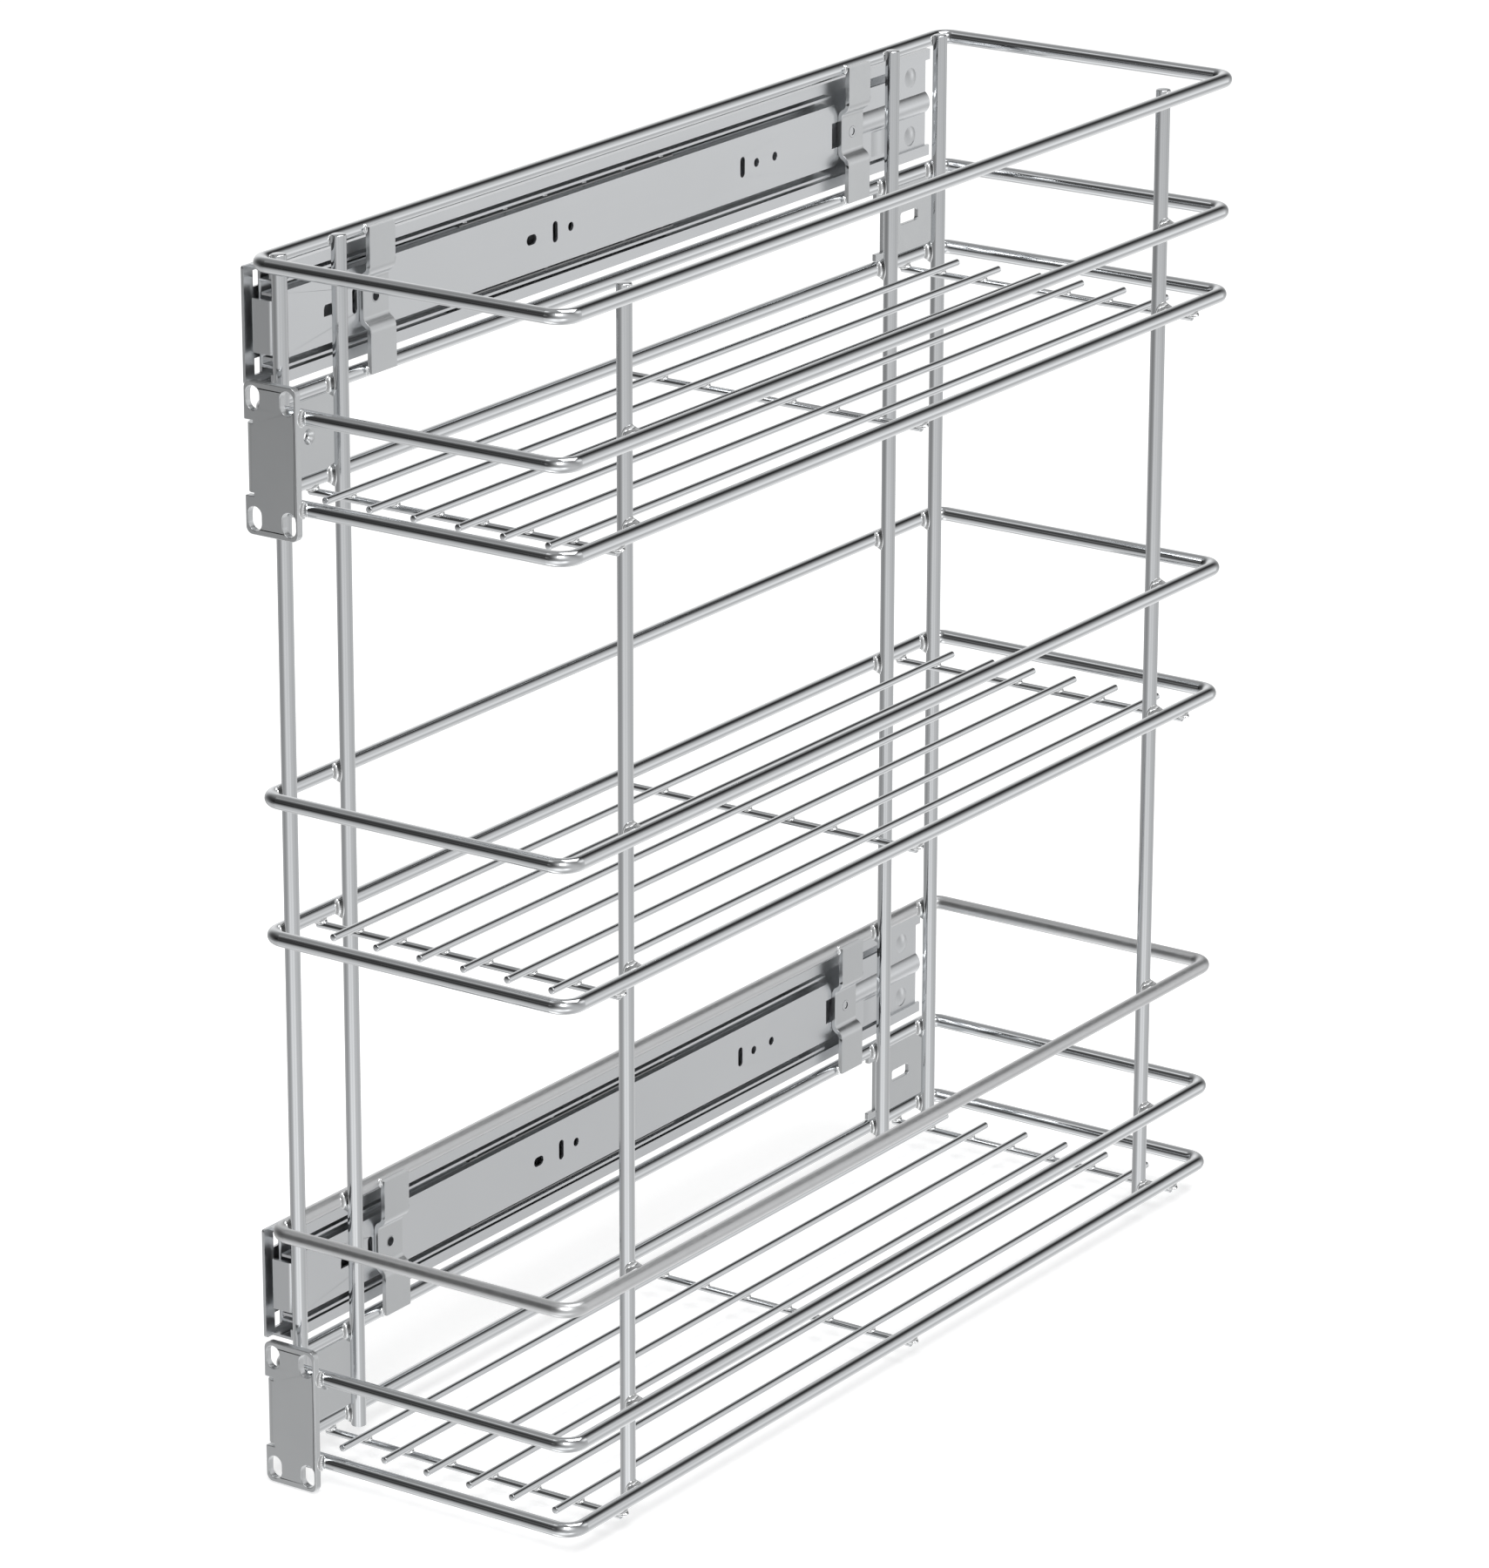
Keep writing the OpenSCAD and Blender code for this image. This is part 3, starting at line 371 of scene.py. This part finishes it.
# The wires' radii in mm, and how many cross and long wires a floor has
wireSpec = {"ring": 3.0, "post": 3.0, "floor": 1.5, "crossWires": 3, "longWires": 6}
postWeldSpec = {"ball": 2.2}


# Welds where the posts stand against the rings. A weld reaches 2 x root(wire radius x ball) along
# the post, so near a post's end the ball is the one that just reaches it.
def addPostWelds(spec):
    ringWire, postWire = wireSpec["ring"], wireSpec["post"]
    foot, top = (c[2] for c in corners(posts[0]))
    for side, line, inward in (("left", ringLow[0] + 2 * ringWire, 1.0),
                               ("right", ringHigh[0] - 2 * ringWire, -1.0)):
        forms = []
        for ring in rings:
            z = middle(ring)[2]
            room = min(top - z, z - foot)
            ball = min(spec["ball"], (room / 2) ** 2 / ringWire)
            places = [(line, middle(post)[1], z) for post in posts if side in post]
            forms.append(crossWelds(places, inward * yAxis, zAxis, ringWire, postWire, ball))
        points, faces = joinForms(forms)
        addPiece(side + "PostWelds", points, faces, paintedHighlightWeldChrome, "basket")


# The places of a floor's wires: each cross wire's Y and middle Z, and each long wire's X
def floorPlaces(floor):
    crossLow, crossHigh = corners(floor + "_cross_wires")
    longLow, longHigh = corners(floor + "_long_wires")
    r = wireSpec["floor"]
    crossY = np.linspace(crossLow[1] + r, crossHigh[1] - r, wireSpec["crossWires"])
    longX = np.linspace(longLow[0] + r, longHigh[0] - r, wireSpec["longWires"])
    return crossY, (crossLow[2] + crossHigh[2]) / 2, longX


# The balls in mm: under the base ring, and where a floor's wires cross
floorWeldSpec = {"ringBall": 1.2, "gridBall": 0.8}


# Welds under the base rings and between the crossing wires of each floor
def addFloorWelds(spec):
    r, ringWire = wireSpec["floor"], wireSpec["ring"]
    lines = (ringLow[0] + ringWire, ringHigh[0] - ringWire)
    for floor in floors:
        crossY, z, longX = floorPlaces(floor)
        under = [(x, y, z + r) for x in lines for y in crossY]
        grid = [(x, y, z + r) for x in longX for y in crossY]
        points, faces = joinForms([
            crossWelds(under, xAxis, yAxis, r, ringWire, spec["ringBall"]),
            crossWelds(grid, xAxis, yAxis, r, r, spec["gridBall"])])
        addPiece(floor + "FloorWelds", points, faces, paintedHighlightWeldChrome, "basket")


# Lengths of the beads, balls, insets of two beads' ends and the sheet's thickness in mm; how far
# the edge welds go round the wire, in degrees
sheetWeldSpec = {
    "ball": 0.9, "sheet": 2.0,
    "clipBead": 13.0, "flangeBead": 22.0, "bracketBead": 20.0, "plateBead": 14.0,
    "flangeInset": 2.0, "plateInset": 1.0,
    "plateBall": 2.2, "plateReach": 68.0, "clipBall": 1.0, "clipReach": 40.0,
}


# Beads that hold the clips, flanges, brackets and door plates to the wires beside them
def addSheetWelds(spec):
    radius, ball = wireSpec["ring"], spec["ball"]
    wireX = ringLow[0] + radius
    frontY = ringLow[1] + radius
    for slide in slides:
        forms = []
        guard = middle(slide + "_guard_ring")[2]
        mid = middle(slide + "_mid_ring")[2]
        base = middle(slide + "_base_ring")[2]
        for clip in (slide + "_front_clip", slide + "_rear_clip"):
            low, high = corners(clip)
            y = (low[1] + high[1]) / 2
            places = [(wireX, y, z) for z in (guard, mid)]
            for s, place in zip((-1.0, 1.0), places):
                forms.append(lineWelds([place], s * yAxis, -xAxis, radius, -radius, ball,
                                       spec["clipBead"]))
            edges = [(wireX, low[1], z) for z in (guard, mid)]
            forms.append(edgeWelds(edges, -yAxis, xAxis, radius, spec["clipBall"],
                                   spec["clipReach"]))
        doorLow, doorHigh = corners(slide + "_door_bracket")
        rearLow, rearHigh = corners(slide + "_rear_bracket")
        flangeOff = doorLow[0] + spec["sheet"] - wireX
        rearOff = rearLow[0] + spec["sheet"] - wireX
        flangeY = doorHigh[1] - spec["flangeBead"] / 2 - spec["flangeInset"]
        rearY = (rearLow[1] + rearHigh[1]) / 2
        plateX = doorHigh[0] - spec["plateBead"] / 2 - spec["plateInset"]
        for z, s in ((mid, 1.0), (base, -1.0)):
            forms.append(lineWelds([(wireX, flangeY, z)], s * yAxis, xAxis, radius, flangeOff,
                                   ball, spec["flangeBead"]))
            forms.append(lineWelds([(wireX, rearY, z)], s * yAxis, xAxis, radius, rearOff,
                                   ball, spec["bracketBead"]))
            for t in (-1.0, 1.0):
                forms.append(lineWelds([(plateX, frontY, z)], t * xAxis, yAxis, radius, -radius,
                                       ball, spec["plateBead"]))
            forms.append(edgeWelds([(doorHigh[0], frontY, z)], xAxis, -yAxis, radius,
                                   spec["plateBall"], spec["plateReach"]))
        points, faces = joinForms(forms)
        addPiece(slide + "SheetWelds", points, faces, paintedHighlightWeldChrome, "basket")


# Heights of the domes and depth of the sunk ring in mm, the share of the wire's radius that a
# dome covers, and how finely it is drawn from its first angle on
tipSpec = {"postRise": 0.6, "floorRise": 0.35, "sink": 0.5, "share": 0.985,
           "firstAngle": 0.12, "rows": 5, "columns": 20}


# The rounded end of a cut wire: rings of points at radius x sin(u) and height rise x cos(u), and
# a last ring sunk into the wire.
def wireTips(places, along, radius, rise, spec):
    u = np.linspace(spec["firstAngle"], np.pi / 2, spec["rows"])[:, None]
    turn = np.linspace(0, 2 * np.pi, spec["columns"], endpoint=False)[None, :]
    out = spec["share"] * radius * np.sin(u)
    dome = np.stack([rise * np.cos(u) + 0 * turn, out * np.cos(turn), out * np.sin(turn)], axis=-1)
    sunk = dome[-1:] - [spec["sink"], 0.0, 0.0]
    side = xAxis if abs(along[2]) == 1 else zAxis
    return repeatTube(np.concatenate([dome, sunk]), False, places, along, side)


# Eased ends of the posts and of the floors' wires
def addWireTips(spec):
    ends = []
    for name in posts:
        low, high = corners(name)
        x, y, z = middle(name)
        ends.append(([(x, y, high[2])], zAxis, wireSpec["post"], spec["postRise"]))
        ends.append(([(x, y, low[2])], -zAxis, wireSpec["post"], spec["postRise"]))
    for floor in floors:
        crossY, z, longX = floorPlaces(floor)
        low, high = corners(floor + "_cross_wires")
        runs = [([(high[0], y, z) for y in crossY], xAxis),
                ([(low[0], y, z) for y in crossY], -xAxis)]
        low, high = corners(floor + "_long_wires")
        z = (low[2] + high[2]) / 2
        runs += [([(x, high[1], z) for x in longX], yAxis),
                 ([(x, low[1], z) for x in longX], -yAxis)]
        ends += [(places, along, wireSpec["floor"], spec["floorRise"]) for places, along in runs]
    points, faces = joinForms([wireTips(*end, spec) for end in ends])
    addPiece("wireTips", points, faces, wireChrome, "basket")


addPostWelds(postWeldSpec)
addFloorWelds(floorWeldSpec)
addSheetWelds(sheetWeldSpec)
addWireTips(tipSpec)
print("welds made")


# One for the camera's own rays, also through glass, and nought for the rest
def cameraRays(tree, path):
    return addNode(tree, "ShaderNodeMath", {"operation": "ADD", "use_clamp": True},
                   links={0: path.outputs["Is Camera Ray"],
                          1: path.outputs["Is Transmission Ray"]}).outputs[0]


# Half the floor's side and its gap below the unit in metres. "lift" is the glow's strength.
floorSpec = {"size": 30.0, "gap": 0.001, "colour": "#E8E8E8", "lift": 0.45}


# A flat square under the unit: matt, with a glow that only the camera sees. Metal doesn't see it,
# but the pale studio that the world gives it below.
def addFloor(spec):
    material = bpy.data.materials.new("paleFloor")
    material.use_nodes = True
    tree = material.node_tree
    tree.nodes.clear()
    path = addNode(tree, "ShaderNodeLightPath")
    matt = addNode(tree, "ShaderNodeBsdfDiffuse", inputs={"Color": hexColour(spec["colour"])})
    lift = addNode(tree, "ShaderNodeMath", {"operation": "MULTIPLY"}, inputs={1: spec["lift"]},
                   links={0: cameraRays(tree, path)})
    glow = addNode(tree, "ShaderNodeEmission", links={"Strength": lift.outputs[0]})
    both = addNode(tree, "ShaderNodeAddShader", links={0: matt.outputs[0], 1: glow.outputs[0]})
    addNode(tree, "ShaderNodeOutputMaterial", links={"Surface": both.outputs[0]})
    z = cadBox[0][2] - spec["gap"]
    s = spec["size"]
    mesh = bpy.data.meshes.new("floor")
    mesh.from_pydata([(-s, -s, z), (s, -s, z), (s, s, z), (-s, s, z)], [], [(0, 1, 2, 3)])
    mesh.materials.append(material)
    floor = bpy.data.objects.new("floor", mesh)
    floor.visible_glossy = False
    scene.collection.objects.link(floor)


# The studio round the unit: white to the camera, plain grey as fill light, and for metal a dim
# room with soft pale patches and two dark ones, which is never darker than "least". Each patch:
# The studio round the unit: white to the camera, plain grey as fill light, and for metal a dim
# room with soft pale patches and two dark ones, which is never darker than "least". Each patch:
# the way towards it, how narrow it is, and its strength. The first thirteen patches aren't chosen
# by hand: a least squares program fitted them to levels measured in the photo, and one was raised
# since. The other seven were given.
studioSpec = {
    "white": 1.0, "fill": 0.55, "room": 0.03, "least": 0.02,
    "patches": [
        ((0.79, 0.11, -0.60), 2, 0.70), ((-0.38, -0.55, -0.74), 10, 0.49),
        ((0.54, 0.83, 0.12), 20, 0.56), ((0.18, -0.78, -0.59), 10, 1.28),
        ((-0.71, 0.66, 0.25), 10, 1.00), ((-0.20, 0.72, -0.66), 5, 0.91),
        ((-0.33, 0.08, 0.94), 10, 0.47), ((-0.84, -0.09, -0.53), 10, 0.56),
        ((0.62, 0.58, 0.53), 40, 1.07), ((-0.55, -0.74, -0.39), 20, 0.26),
        ((0.68, -0.51, -0.53), 40, 0.99), ((-0.32, -0.11, -0.94), 40, 1.90),
        ((-0.42, -0.40, 0.82), 40, 0.15), ((0.85, -0.35, 0.35), 4, 0.35),
        ((0.45, -0.62, 0.64), 14, 1.60), ((-0.46, -0.28, 0.84), 150, 1.10),
        ((0.57, 0.81, -0.10), 60, 0.45), ((-0.44, -0.86, 0.25), 100, 0.25),
        ((-0.03, 0.81, 0.59), 40, -0.14), ((-0.56, -0.82, -0.08), 15, -0.12),
    ],
}


# Each patch adds strength x e^(narrowness x (cosine of the angle to its middle - 1)).
def addStudio(spec):
    world = bpy.data.worlds.new("studio")
    scene.world = world
    world.use_nodes = True
    world.cycles.sampling_method = "NONE"      # the patches are soft, so they need no aiming
    tree = world.node_tree
    tree.nodes.clear()
    path = addNode(tree, "ShaderNodeLightPath")
    look = addNode(tree, "ShaderNodeTexCoord")
    total = addNode(tree, "ShaderNodeValue")
    total.outputs[0].default_value = spec["room"]
    for towards, narrow, strength in spec["patches"]:
        near = addNode(tree, "ShaderNodeVectorMath", {"operation": "DOT_PRODUCT"},
                       inputs={1: Vector(towards).normalized()},
                       links={0: look.outputs["Generated"]})
        fall = addNode(tree, "ShaderNodeMath", {"operation": "MULTIPLY_ADD"},
                       inputs={1: narrow, 2: -narrow}, links={0: near.outputs["Value"]})
        patch = addNode(tree, "ShaderNodeMath", {"operation": "EXPONENT"},
                        links={0: fall.outputs[0]})
        total = addNode(tree, "ShaderNodeMath", {"operation": "MULTIPLY_ADD"},
                        inputs={1: strength}, links={0: patch.outputs[0], 2: total.outputs[0]})
    total = addNode(tree, "ShaderNodeMath", {"operation": "MAXIMUM"}, inputs={1: spec["least"]},
                    links={0: total.outputs[0]})
    level = addNode(tree, "ShaderNodeMix", {"data_type": "FLOAT"},
                    inputs={mixSocket["firstNumber"]: spec["fill"]},
                    links={mixSocket["share"]: path.outputs["Is Glossy Ray"],
                           mixSocket["secondNumber"]: total.outputs[0]})
    shown = addNode(tree, "ShaderNodeMix", {"data_type": "FLOAT"},
                    inputs={mixSocket["secondNumber"]: spec["white"]},
                    links={mixSocket["share"]: cameraRays(tree, path),
                           mixSocket["firstNumber"]: level.outputs[0]})
    back = addNode(tree, "ShaderNodeBackground", inputs={"Color": hexColour("#FFFFFF")},
                   links={"Strength": shown.outputs[0]})
    addNode(tree, "ShaderNodeOutputWorld", links={"Surface": back.outputs[0]})


# Places and sizes in metres, power in watts
lampSpec = [
    {"name": "keySoftbox", "place": (1.6, -2.4, 2.6), "size": 1.4, "power": 60.0},
    {"name": "topSoftbox", "place": (0.6, 0.8, 3.0), "size": 2.0, "power": 40.0},
]


# Square soft boxes, each turned to face the unit
def addLamps(specs):
    for spec in specs:
        data = bpy.data.lights.new(spec["name"], "AREA")
        data.shape = "SQUARE"
        data.size = spec["size"]
        data.energy = spec["power"]
        lamp = bpy.data.objects.new(spec["name"], data)
        lamp.location = spec["place"]
        lamp.rotation_mode = "QUATERNION"
        lamp.rotation_quaternion = (-Vector(spec["place"])).to_track_quat("-Z", "Y")
        scene.collection.objects.link(lamp)


addFloor(floorSpec)
addStudio(studioSpec)
addLamps(lampSpec)
scene.view_settings.view_transform = "Standard"
print("stage set")
